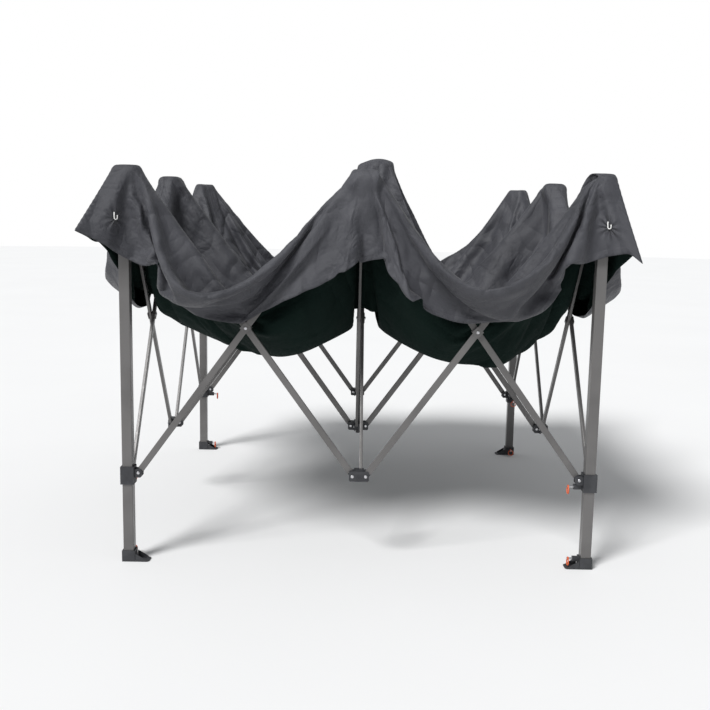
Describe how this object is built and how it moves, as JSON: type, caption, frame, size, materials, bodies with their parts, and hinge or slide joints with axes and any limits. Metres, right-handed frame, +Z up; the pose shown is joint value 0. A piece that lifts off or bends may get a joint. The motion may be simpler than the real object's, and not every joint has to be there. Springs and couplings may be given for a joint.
{
  "type": "pop up canopy",
  "caption": "Folding pop up canopy with a scissor bar frame, sliding legs and a black cloth cover, standing part opened.",
  "frame": {"origin": "on the ground under the centre post", "axes": "+Z up, -Y the front side, +X right seen from the front; the posts stand on a square grid along X and Y"},
  "size_m": [2.1736, 2.1736, 1.6013],
  "materials": {
    "canopy_cloth": "coated woven polyester",
    "nylon": "moulded nylon, slight texture",
    "pull_pin": "zinc plated pin with a moulded orange ring",
    "mast_tube": "black powder coat",
    "inner_leg_steel": "powder coat",
    "powder_coat": "warm grey powder coat, satin"
  },
  "bodies": {
    "centre_upper": {"hub_upper_centre": "nylon", "canopy": "canopy_cloth"},
    "centre_lower": {"hub_lower_centre": "nylon", "mast": "mast_tube"},
    "upper_front": {"hub_upper_front": "nylon"},
    "lower_front": {"hub_lower_front": "nylon"},
    "bar_front_right_a": {"bar_front_right_a": "powder_coat"},
    "bar_front_right_b": {"bar_front_right_b": "powder_coat"},
    "bar_front_left_a": {"bar_front_left_a": "powder_coat"},
    "bar_front_left_b": {"bar_front_left_b": "powder_coat"},
    "bar_front_centre_a": {"bar_front_centre_a": "powder_coat"},
    "bar_front_centre_b": {"bar_front_centre_b": "powder_coat"},
    "upper_right": {"hub_upper_right": "nylon"},
    "lower_right": {"hub_lower_right": "nylon"},
    "bar_right_back_a": {"bar_right_back_a": "powder_coat"},
    "bar_right_back_b": {"bar_right_back_b": "powder_coat"},
    "bar_right_front_a": {"bar_right_front_a": "powder_coat"},
    "bar_right_front_b": {"bar_right_front_b": "powder_coat"},
    "bar_right_centre_a": {"bar_right_centre_a": "powder_coat"},
    "bar_right_centre_b": {"bar_right_centre_b": "powder_coat"},
    "upper_back": {"hub_upper_back": "nylon"},
    "lower_back": {"hub_lower_back": "nylon"},
    "bar_back_left_a": {"bar_back_left_a": "powder_coat"},
    "bar_back_left_b": {"bar_back_left_b": "powder_coat"},
    "bar_back_right_a": {"bar_back_right_a": "powder_coat"},
    "bar_back_right_b": {"bar_back_right_b": "powder_coat"},
    "bar_back_centre_a": {"bar_back_centre_a": "powder_coat"},
    "bar_back_centre_b": {"bar_back_centre_b": "powder_coat"},
    "upper_left": {"hub_upper_left": "nylon"},
    "lower_left": {"hub_lower_left": "nylon"},
    "bar_left_front_a": {"bar_left_front_a": "powder_coat"},
    "bar_left_front_b": {"bar_left_front_b": "powder_coat"},
    "bar_left_back_a": {"bar_left_back_a": "powder_coat"},
    "bar_left_back_b": {"bar_left_back_b": "powder_coat"},
    "bar_left_centre_a": {"bar_left_centre_a": "powder_coat"},
    "bar_left_centre_b": {"bar_left_centre_b": "powder_coat"},
    "leg_front_left": {"leg_front_left": "powder_coat", "leg_brackets_front_left": "nylon"},
    "slider_front_left": {"slider_front_left": "nylon"},
    "slider_pin_front_left": {"slider_pin_front_left": "pull_pin"},
    "leg_pin_front_left": {"leg_pin_front_left": "pull_pin"},
    "inner_leg_front_left": {"inner_leg_front_left": "inner_leg_steel"},
    "leg_front_right": {"leg_front_right": "powder_coat", "leg_brackets_front_right": "nylon"},
    "slider_front_right": {"slider_front_right": "nylon"},
    "slider_pin_front_right": {"slider_pin_front_right": "pull_pin"},
    "leg_pin_front_right": {"leg_pin_front_right": "pull_pin"},
    "inner_leg_front_right": {"inner_leg_front_right": "inner_leg_steel"},
    "leg_back_right": {"leg_back_right": "powder_coat", "leg_brackets_back_right": "nylon"},
    "slider_back_right": {"slider_back_right": "nylon"},
    "slider_pin_back_right": {"slider_pin_back_right": "pull_pin"},
    "leg_pin_back_right": {"leg_pin_back_right": "pull_pin"},
    "inner_leg_back_right": {"inner_leg_back_right": "inner_leg_steel"},
    "leg_back_left": {"leg_back_left": "powder_coat", "leg_brackets_back_left": "nylon"},
    "slider_back_left": {"slider_back_left": "nylon"},
    "slider_pin_back_left": {"slider_pin_back_left": "pull_pin"},
    "leg_pin_back_left": {"leg_pin_back_left": "pull_pin"},
    "inner_leg_back_left": {"inner_leg_back_left": "inner_leg_steel"}
  },
  "joints": [
    {"name": "frame_fold", "type": "hinge", "parent": "centre_upper", "child": "bar_front_centre_a", "pos_m": [0.00725, -0.036, 1.49771], "axis": [1, 0, 0], "range_deg": [-41, 30.5], "deforming": ["canopy"]},
    {"name": "hinge_cross_front_centre", "type": "hinge", "parent": "bar_front_centre_a", "child": "bar_front_centre_b", "pos_m": [0, -0.45039, 0.92736], "axis": [-1, 0, 0], "range_deg": [-82, 61]},
    {"name": "hinge_centre_lower_front", "type": "hinge", "parent": "bar_front_centre_b", "child": "centre_lower", "pos_m": [-0.00725, -0.036, 0.357], "axis": [1, 0, 0], "range_deg": [-41, 30.5]},
    {"name": "hinge_front_lower_inward", "type": "hinge", "parent": "bar_front_centre_a", "child": "lower_front", "pos_m": [0.00725, -0.86478, 0.357], "axis": [-1, 0, 0], "range_deg": [-41, 30.5]},
    {"name": "hinge_front_upper_inward", "type": "hinge", "parent": "bar_front_centre_b", "child": "upper_front", "pos_m": [-0.00725, -0.86478, 1.49771], "axis": [1, 0, 0], "range_deg": [-41, 30.5]},
    {"name": "hinge_centre_upper_right", "type": "hinge", "parent": "centre_upper", "child": "bar_right_centre_a", "pos_m": [0.036, 0.00725, 1.49771], "axis": [0, 1, 0], "range_deg": [-41, 30.5]},
    {"name": "hinge_centre_lower_right", "type": "hinge", "parent": "centre_lower", "child": "bar_right_centre_b", "pos_m": [0.036, -0.00725, 0.357], "axis": [0, -1, 0], "range_deg": [-41, 30.5]},
    {"name": "hinge_right_lower_inward", "type": "hinge", "parent": "bar_right_centre_a", "child": "lower_right", "pos_m": [0.86478, 0.00725, 0.357], "axis": [0, -1, 0], "range_deg": [-41, 30.5]},
    {"name": "hinge_right_upper_inward", "type": "hinge", "parent": "bar_right_centre_b", "child": "upper_right", "pos_m": [0.86478, -0.00725, 1.49771], "axis": [0, 1, 0], "range_deg": [-41, 30.5]},
    {"name": "hinge_centre_upper_back", "type": "hinge", "parent": "centre_upper", "child": "bar_back_centre_a", "pos_m": [-0.00725, 0.036, 1.49771], "axis": [-1, 0, 0], "range_deg": [-41, 30.5]},
    {"name": "hinge_centre_lower_back", "type": "hinge", "parent": "centre_lower", "child": "bar_back_centre_b", "pos_m": [0.00725, 0.036, 0.357], "axis": [1, 0, 0], "range_deg": [-41, 30.5]},
    {"name": "hinge_back_lower_inward", "type": "hinge", "parent": "bar_back_centre_a", "child": "lower_back", "pos_m": [-0.00725, 0.86478, 0.357], "axis": [1, 0, 0], "range_deg": [-41, 30.5]},
    {"name": "hinge_back_upper_inward", "type": "hinge", "parent": "bar_back_centre_b", "child": "upper_back", "pos_m": [0.00725, 0.86478, 1.49771], "axis": [-1, 0, 0], "range_deg": [-41, 30.5]},
    {"name": "hinge_centre_upper_left", "type": "hinge", "parent": "centre_upper", "child": "bar_left_centre_a", "pos_m": [-0.036, -0.00725, 1.49771], "axis": [0, -1, 0], "range_deg": [-41, 30.5]},
    {"name": "hinge_centre_lower_left", "type": "hinge", "parent": "centre_lower", "child": "bar_left_centre_b", "pos_m": [-0.036, 0.00725, 0.357], "axis": [0, 1, 0], "range_deg": [-41, 30.5]},
    {"name": "hinge_left_lower_inward", "type": "hinge", "parent": "bar_left_centre_a", "child": "lower_left", "pos_m": [-0.86478, -0.00725, 0.357], "axis": [0, 1, 0], "range_deg": [-41, 30.5]},
    {"name": "hinge_left_upper_inward", "type": "hinge", "parent": "bar_left_centre_b", "child": "upper_left", "pos_m": [-0.86478, 0.00725, 1.49771], "axis": [0, -1, 0], "range_deg": [-41, 30.5]},
    {"name": "hinge_front_upper_right", "type": "hinge", "parent": "upper_front", "child": "bar_front_right_a", "pos_m": [0.026, -0.88953, 1.49771], "axis": [0, 1, 0], "range_deg": [-41, 30.5]},
    {"name": "hinge_front_lower_right", "type": "hinge", "parent": "lower_front", "child": "bar_front_right_b", "pos_m": [0.026, -0.90403, 0.357], "axis": [0, -1, 0], "range_deg": [-41, 30.5]},
    {"name": "hinge_front_upper_left", "type": "hinge", "parent": "upper_front", "child": "bar_front_left_a", "pos_m": [-0.026, -0.90403, 1.49771], "axis": [0, -1, 0], "range_deg": [-41, 30.5]},
    {"name": "hinge_front_lower_left", "type": "hinge", "parent": "lower_front", "child": "bar_front_left_b", "pos_m": [-0.026, -0.88953, 0.357], "axis": [0, 1, 0], "range_deg": [-41, 30.5]},
    {"name": "hinge_slider_front_left", "type": "hinge", "parent": "bar_front_left_a", "child": "slider_front_left", "pos_m": [-0.85478, -0.90403, 0.357], "axis": [0, 1, 0], "range_deg": [-41, 30.5]},
    {"name": "hinge_leg_front_left", "type": "hinge", "parent": "bar_front_left_b", "child": "leg_front_left", "pos_m": [-0.85478, -0.88953, 1.49771], "axis": [0, -1, 0], "range_deg": [-41, 30.5]},
    {"name": "hinge_right_upper_back", "type": "hinge", "parent": "upper_right", "child": "bar_right_back_a", "pos_m": [0.88953, 0.026, 1.49771], "axis": [-1, 0, 0], "range_deg": [-41, 30.5]},
    {"name": "hinge_right_lower_back", "type": "hinge", "parent": "lower_right", "child": "bar_right_back_b", "pos_m": [0.90403, 0.026, 0.357], "axis": [1, 0, 0], "range_deg": [-41, 30.5]},
    {"name": "hinge_right_upper_front", "type": "hinge", "parent": "upper_right", "child": "bar_right_front_a", "pos_m": [0.90403, -0.026, 1.49771], "axis": [1, 0, 0], "range_deg": [-41, 30.5]},
    {"name": "hinge_right_lower_front", "type": "hinge", "parent": "lower_right", "child": "bar_right_front_b", "pos_m": [0.88953, -0.026, 0.357], "axis": [-1, 0, 0], "range_deg": [-41, 30.5]},
    {"name": "hinge_slider_front_right", "type": "hinge", "parent": "bar_right_front_a", "child": "slider_front_right", "pos_m": [0.90403, -0.85478, 0.357], "axis": [-1, 0, 0], "range_deg": [-41, 30.5]},
    {"name": "hinge_leg_front_right", "type": "hinge", "parent": "bar_right_front_b", "child": "leg_front_right", "pos_m": [0.88953, -0.85478, 1.49771], "axis": [1, 0, 0], "range_deg": [-41, 30.5]},
    {"name": "hinge_back_upper_left", "type": "hinge", "parent": "upper_back", "child": "bar_back_left_a", "pos_m": [-0.026, 0.88953, 1.49771], "axis": [0, -1, 0], "range_deg": [-41, 30.5]},
    {"name": "hinge_back_lower_left", "type": "hinge", "parent": "lower_back", "child": "bar_back_left_b", "pos_m": [-0.026, 0.90403, 0.357], "axis": [0, 1, 0], "range_deg": [-41, 30.5]},
    {"name": "hinge_back_upper_right", "type": "hinge", "parent": "upper_back", "child": "bar_back_right_a", "pos_m": [0.026, 0.90403, 1.49771], "axis": [0, 1, 0], "range_deg": [-41, 30.5]},
    {"name": "hinge_back_lower_right", "type": "hinge", "parent": "lower_back", "child": "bar_back_right_b", "pos_m": [0.026, 0.88953, 0.357], "axis": [0, -1, 0], "range_deg": [-41, 30.5]},
    {"name": "hinge_slider_back_right", "type": "hinge", "parent": "bar_back_right_a", "child": "slider_back_right", "pos_m": [0.85478, 0.90403, 0.357], "axis": [0, -1, 0], "range_deg": [-41, 30.5]},
    {"name": "hinge_leg_back_right", "type": "hinge", "parent": "bar_back_right_b", "child": "leg_back_right", "pos_m": [0.85478, 0.88953, 1.49771], "axis": [0, 1, 0], "range_deg": [-41, 30.5]},
    {"name": "hinge_left_upper_front", "type": "hinge", "parent": "upper_left", "child": "bar_left_front_a", "pos_m": [-0.88953, -0.026, 1.49771], "axis": [1, 0, 0], "range_deg": [-41, 30.5]},
    {"name": "hinge_left_lower_front", "type": "hinge", "parent": "lower_left", "child": "bar_left_front_b", "pos_m": [-0.90403, -0.026, 0.357], "axis": [-1, 0, 0], "range_deg": [-41, 30.5]},
    {"name": "hinge_left_upper_back", "type": "hinge", "parent": "upper_left", "child": "bar_left_back_a", "pos_m": [-0.90403, 0.026, 1.49771], "axis": [-1, 0, 0], "range_deg": [-41, 30.5]},
    {"name": "hinge_left_lower_back", "type": "hinge", "parent": "lower_left", "child": "bar_left_back_b", "pos_m": [-0.88953, 0.026, 0.357], "axis": [1, 0, 0], "range_deg": [-41, 30.5]},
    {"name": "hinge_slider_back_left", "type": "hinge", "parent": "bar_left_back_a", "child": "slider_back_left", "pos_m": [-0.90403, 0.85478, 0.357], "axis": [1, 0, 0], "range_deg": [-41, 30.5]},
    {"name": "hinge_leg_back_left", "type": "hinge", "parent": "bar_left_back_b", "child": "leg_back_left", "pos_m": [-0.88953, 0.85478, 1.49771], "axis": [-1, 0, 0], "range_deg": [-41, 30.5]},
    {"name": "leg_extend_front_left", "type": "slide", "parent": "leg_front_left", "child": "inner_leg_front_left", "axis": [0, 0, -1], "range_m": [0, 0.54]},
    {"name": "leg_pin_pull_front_left", "type": "slide", "parent": "leg_front_left", "child": "leg_pin_front_left", "axis": [0, 1, 0], "range_m": [0, 0.008], "stiffness_N_per_m": 800, "springref_m": -0.005},
    {"name": "slider_pin_pull_front_left", "type": "slide", "parent": "slider_front_left", "child": "slider_pin_front_left", "axis": [0, 1, 0], "range_m": [0, 0.008], "stiffness_N_per_m": 800, "springref_m": -0.005},
    {"name": "leg_extend_front_right", "type": "slide", "parent": "leg_front_right", "child": "inner_leg_front_right", "axis": [0, 0, -1], "range_m": [0, 0.54]},
    {"name": "leg_pin_pull_front_right", "type": "slide", "parent": "leg_front_right", "child": "leg_pin_front_right", "axis": [-1, 0, 0], "range_m": [0, 0.008], "stiffness_N_per_m": 800, "springref_m": -0.005},
    {"name": "slider_pin_pull_front_right", "type": "slide", "parent": "slider_front_right", "child": "slider_pin_front_right", "axis": [-1, 0, 0], "range_m": [0, 0.008], "stiffness_N_per_m": 800, "springref_m": -0.005},
    {"name": "leg_extend_back_right", "type": "slide", "parent": "leg_back_right", "child": "inner_leg_back_right", "axis": [0, 0, -1], "range_m": [0, 0.54]},
    {"name": "leg_pin_pull_back_right", "type": "slide", "parent": "leg_back_right", "child": "leg_pin_back_right", "axis": [0, -1, 0], "range_m": [0, 0.008], "stiffness_N_per_m": 800, "springref_m": -0.005},
    {"name": "slider_pin_pull_back_right", "type": "slide", "parent": "slider_back_right", "child": "slider_pin_back_right", "axis": [0, -1, 0], "range_m": [0, 0.008], "stiffness_N_per_m": 800, "springref_m": -0.005},
    {"name": "leg_extend_back_left", "type": "slide", "parent": "leg_back_left", "child": "inner_leg_back_left", "axis": [0, 0, -1], "range_m": [0, 0.54]},
    {"name": "leg_pin_pull_back_left", "type": "slide", "parent": "leg_back_left", "child": "leg_pin_back_left", "axis": [1, 0, 0], "range_m": [0, 0.008], "stiffness_N_per_m": 800, "springref_m": -0.005},
    {"name": "slider_pin_pull_back_left", "type": "slide", "parent": "slider_back_left", "child": "slider_pin_back_left", "axis": [1, 0, 0], "range_m": [0, 0.008], "stiffness_N_per_m": 800, "springref_m": -0.005}
  ],
  "couplings": [
    {"joint": "hinge_cross_front_centre", "follows": "frame_fold", "ratio": 2},
    {"joint": "hinge_centre_lower_front", "follows": "frame_fold", "ratio": 1},
    {"joint": "hinge_front_lower_inward", "follows": "frame_fold", "ratio": 1},
    {"joint": "hinge_front_upper_inward", "follows": "frame_fold", "ratio": 1},
    {"joint": "hinge_centre_upper_right", "follows": "frame_fold", "ratio": 1},
    {"joint": "hinge_centre_lower_right", "follows": "frame_fold", "ratio": 1},
    {"joint": "hinge_right_lower_inward", "follows": "frame_fold", "ratio": 1},
    {"joint": "hinge_right_upper_inward", "follows": "frame_fold", "ratio": 1},
    {"joint": "hinge_centre_upper_back", "follows": "frame_fold", "ratio": 1},
    {"joint": "hinge_centre_lower_back", "follows": "frame_fold", "ratio": 1},
    {"joint": "hinge_back_lower_inward", "follows": "frame_fold", "ratio": 1},
    {"joint": "hinge_back_upper_inward", "follows": "frame_fold", "ratio": 1},
    {"joint": "hinge_centre_upper_left", "follows": "frame_fold", "ratio": 1},
    {"joint": "hinge_centre_lower_left", "follows": "frame_fold", "ratio": 1},
    {"joint": "hinge_left_lower_inward", "follows": "frame_fold", "ratio": 1},
    {"joint": "hinge_left_upper_inward", "follows": "frame_fold", "ratio": 1},
    {"joint": "hinge_front_upper_right", "follows": "frame_fold", "ratio": 1},
    {"joint": "hinge_front_lower_right", "follows": "frame_fold", "ratio": 1},
    {"joint": "hinge_front_upper_left", "follows": "frame_fold", "ratio": 1},
    {"joint": "hinge_front_lower_left", "follows": "frame_fold", "ratio": 1},
    {"joint": "hinge_slider_front_left", "follows": "frame_fold", "ratio": 1},
    {"joint": "hinge_leg_front_left", "follows": "frame_fold", "ratio": 1},
    {"joint": "hinge_right_upper_back", "follows": "frame_fold", "ratio": 1},
    {"joint": "hinge_right_lower_back", "follows": "frame_fold", "ratio": 1},
    {"joint": "hinge_right_upper_front", "follows": "frame_fold", "ratio": 1},
    {"joint": "hinge_right_lower_front", "follows": "frame_fold", "ratio": 1},
    {"joint": "hinge_slider_front_right", "follows": "frame_fold", "ratio": 1},
    {"joint": "hinge_leg_front_right", "follows": "frame_fold", "ratio": 1},
    {"joint": "hinge_back_upper_left", "follows": "frame_fold", "ratio": 1},
    {"joint": "hinge_back_lower_left", "follows": "frame_fold", "ratio": 1},
    {"joint": "hinge_back_upper_right", "follows": "frame_fold", "ratio": 1},
    {"joint": "hinge_back_lower_right", "follows": "frame_fold", "ratio": 1},
    {"joint": "hinge_slider_back_right", "follows": "frame_fold", "ratio": 1},
    {"joint": "hinge_leg_back_right", "follows": "frame_fold", "ratio": 1},
    {"joint": "hinge_left_upper_front", "follows": "frame_fold", "ratio": 1},
    {"joint": "hinge_left_lower_front", "follows": "frame_fold", "ratio": 1},
    {"joint": "hinge_left_upper_back", "follows": "frame_fold", "ratio": 1},
    {"joint": "hinge_left_lower_back", "follows": "frame_fold", "ratio": 1},
    {"joint": "hinge_slider_back_left", "follows": "frame_fold", "ratio": 1},
    {"joint": "hinge_leg_back_left", "follows": "frame_fold", "ratio": 1}
  ]
}
